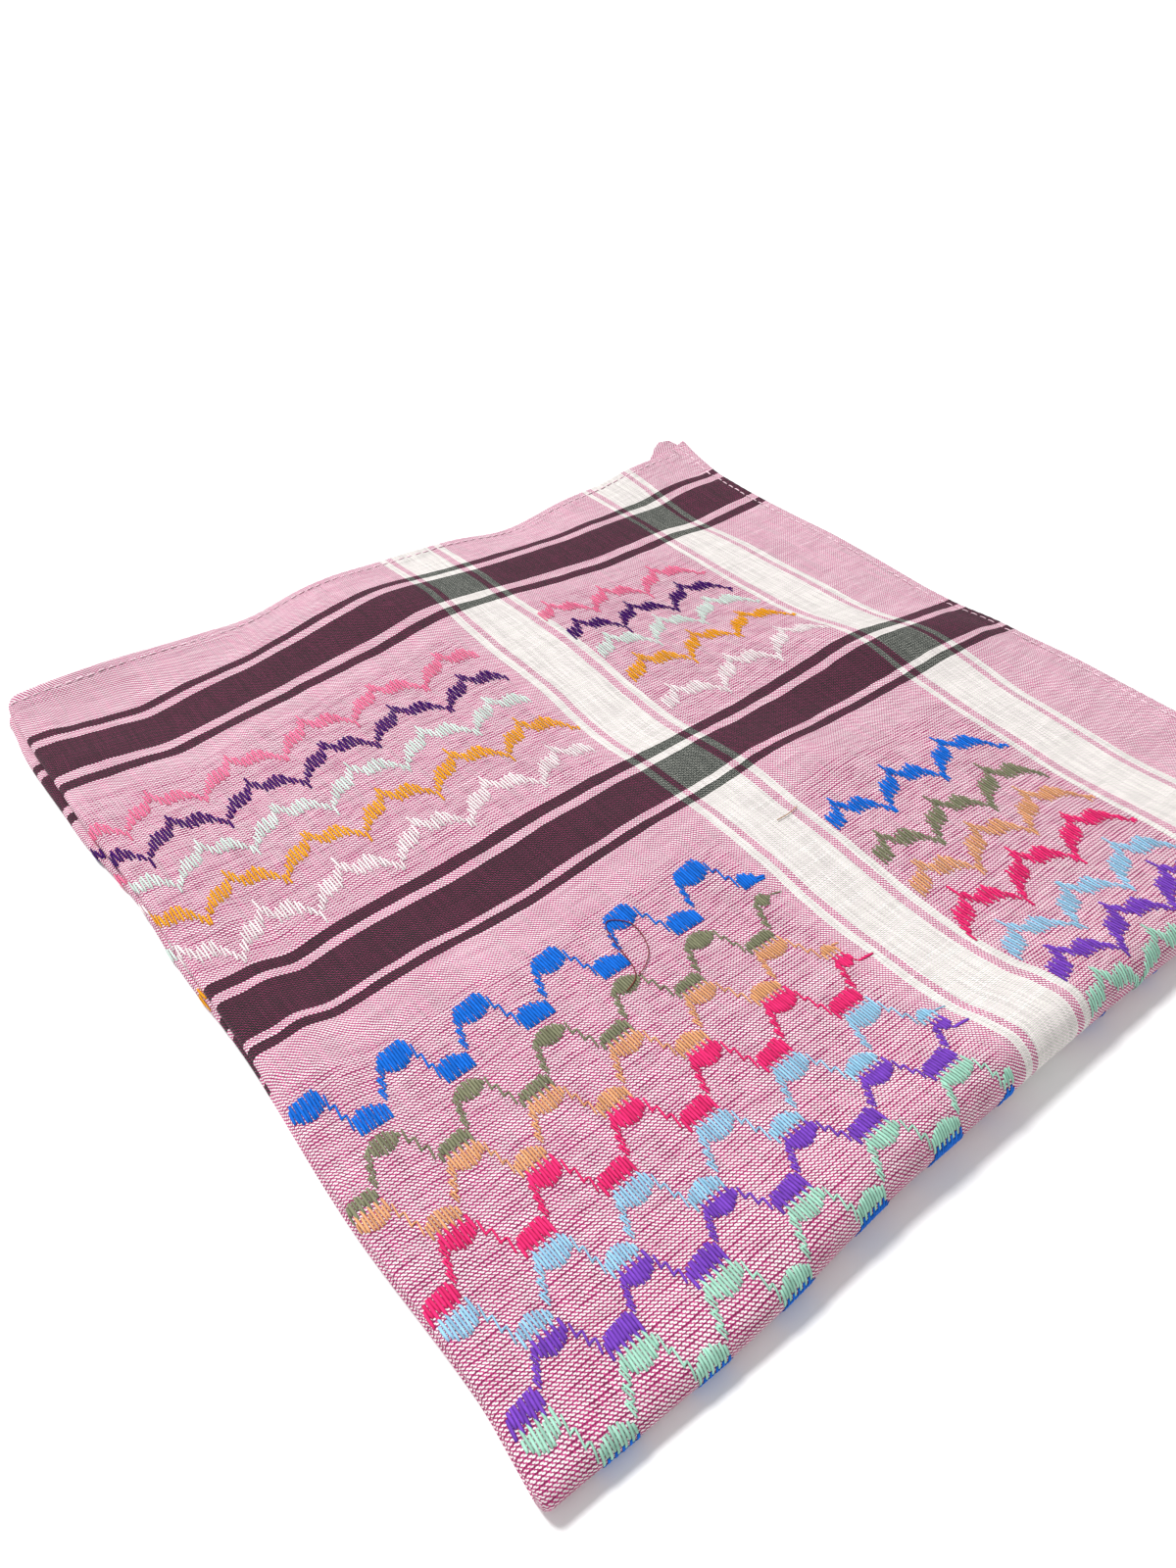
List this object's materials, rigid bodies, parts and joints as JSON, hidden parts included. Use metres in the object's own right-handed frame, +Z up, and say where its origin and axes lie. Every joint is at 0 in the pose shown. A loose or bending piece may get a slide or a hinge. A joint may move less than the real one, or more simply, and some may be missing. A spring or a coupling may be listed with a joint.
{
  "type": "folded cotton bandana",
  "caption": "Square cotton bandana with woven check, brocade zigzag motifs and turned hems, folded in quarters and laid flat",
  "frame": {"origin": "middle of the footprint, on the surface that the folded cloth rests on", "axes": "+X from the first fold to the right hem side, +Y from the second fold to the back hem side, +Z up from the resting face"},
  "size_m": [0.2578, 0.263, 0.0152],
  "materials": {
    "pink_cloth": "soft plain-weave cotton, pink and white, with dark and white bands",
    "hem_cloth": "the same cotton turned in twice and stitched",
    "hidden_cloth": "the same cotton, inner layers",
    "brocade_thread": "glossy coloured weft floats",
    "sewing_thread": "matt pale pink sewing thread"
  },
  "bodies": {
    "root": {"top_layer": "pink_cloth", "top_back_hem": "hem_cloth", "top_right_hem": "hem_cloth", "inner_layers": "hidden_cloth", "bottom_layer": "pink_cloth", "bottom_back_hem": "hem_cloth", "bottom_right_hem": "hem_cloth"}
  },
  "joints": []
}
